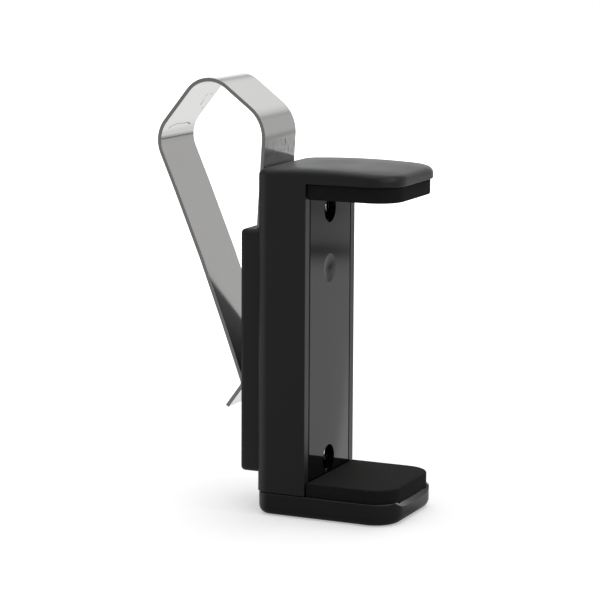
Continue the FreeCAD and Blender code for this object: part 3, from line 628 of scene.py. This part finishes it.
# Share of light left on the floor: shades that deepen along the runner and one band, fading across it
def runnerShade(tree, place, runner):
    turn = math.radians(runner["turn"])
    ahead, aside = (math.cos(turn), math.sin(turn), 0.0), (-math.sin(turn), math.cos(turn), 0.0)
    run, off = (addNode(
        tree, "ShaderNodeVectorMath", {0: place, 1: way}, operation="DOT_PRODUCT").outputs["Value"]
        for way in (ahead, aside))
    middle, reach, depth = runner["band"]
    banded = bell(tree, run, middle, reach)
    dark = addNode(tree, "ShaderNodeMapRange", {0: banded, 4: depth}).outputs[0]
    for near, far, deep in runner["shades"]:
        deeper = addNode(
            tree, "ShaderNodeMapRange", {0: run, 1: near, 2: far, 4: deep}, interpolation_type="SMOOTHSTEP")
        dark = addNode(tree, "ShaderNodeMath", {0: deeper.outputs[0], 1: dark}, operation="ADD").outputs[0]
    across = bell(tree, off, 0.0, runner["half"])
    onRunner = addNode(tree, "ShaderNodeMath", {0: dark, 1: across}, operation="MULTIPLY").outputs[0]
    return addNode(tree, "ShaderNodeMapRange", {0: onRunner, 3: 1.0, 4: 0.0}).outputs[0]


# Pale floor: white to the camera but for shadows and a painted shadow that darkens it towards the holder, and to
# reflections as light as the screen above it
def makeFloor(look):
    material, tree, surface = newMaterial("paleFloor")
    path = addNode(tree, "ShaderNodeLightPath").outputs
    place = addNode(tree, "ShaderNodeTexCoord").outputs["Object"]
    away = addNode(tree, "ShaderNodeVectorMath", {0: place}, operation="LENGTH").outputs["Value"]
    shaded = runnerShade(tree, place, look["runner"])
    (near, nearLevel), (far, farLevel) = look["sweepNear"], look["sweepFar"]
    swept = addNode(tree, "ShaderNodeMapRange", {0: away, 1: near, 2: far, 3: nearLevel, 4: farLevel})
    around = screenLight(tree, place, look, (swept.outputs[0], *look["onFloor"]), "floorEdges")
    seen = addNode(tree, "ShaderNodeMath", {0: around, 1: shaded}, operation="MULTIPLY").outputs[0]
    tone = addNode(tree, "ShaderNodeMix", {0: path["Is Glossy Ray"], 2: 1.0, 3: seen}).outputs[0]
    shade = addNode(tree, "ShaderNodeMix", {
        0: tone, 6: (0.0, 0.0, 0.0, 1.0), 7: linearColour(look["floorColour"])}, data_type="RGBA")
    diffuse = addNode(tree, "ShaderNodeBsdfDiffuse", {"Color": shade.outputs[2]})
    # Painted shadow: the glow the camera sees rises from its lowest near the holder to full white at the far
    # reach
    paintedShadowFrom, paintedShadowTo = look["paintedShadowReach"]
    white = addNode(tree, "ShaderNodeMapRange", {
        0: away, 1: paintedShadowFrom, 2: paintedShadowTo, 3: look["paintedShadowLift"], 4: 1.0})
    toCamera = addNode(
        tree, "ShaderNodeMath", {0: path["Is Camera Ray"], 1: white.outputs[0]}, operation="MULTIPLY")
    mirrored = addNode(
        tree, "ShaderNodeMath", {0: path["Is Glossy Ray"], 1: look["floorLift"]}, operation="MULTIPLY")
    lift = addNode(
        tree, "ShaderNodeMath", {0: mirrored.outputs[0], 1: tone, 2: toCamera.outputs[0]},
        operation="MULTIPLY_ADD")
    glow = addNode(tree, "ShaderNodeEmission", {"Strength": lift.outputs[0]})
    both = addNode(tree, "ShaderNodeAddShader", {0: diffuse.outputs[0], 1: glow.outputs[0]})
    tree.links.new(both.outputs[0], surface)
    half = look["floorSize"] / 2
    corners = [(-half, -half, 0.0), (half, -half, 0.0), (half, half, 0.0), (-half, half, 0.0)]
    mesh = bpy.data.meshes.new("floor")
    mesh.from_pydata(corners, [], [(0, 1, 2, 3)])
    mesh.materials.append(material)
    floor = bpy.data.objects.new("floor", mesh)
    bpy.context.scene.collection.objects.link(floor)


# Square light panels that face the holder: place and size in metres, power in watts
panels = {
    "overheadPanel": {"place": (0.25, 0.1, 1.3), "size": 1.4, "power": 4.5},
    "frontLamp": {"place": (0.0, -1.0, 0.75), "size": 0.1, "power": 0.8},
}


def makePanel(name, look):
    data = bpy.data.lights.new(name, "AREA")
    data.size, data.energy = look["size"], look["power"]
    panel = bpy.data.objects.new(name, data)
    place = Vector(look["place"])
    panel.location = place
    panel.rotation_euler = place.to_track_quat("Z", "Y").to_euler()
    bpy.context.scene.collection.objects.link(panel)


makeWorld(studio)
makeFloor(studio)
for name, look in panels.items():
    makePanel(name, look)
bpy.context.scene.view_settings.view_transform = "Standard"
print("studio: camera, sweep, panels and floor")
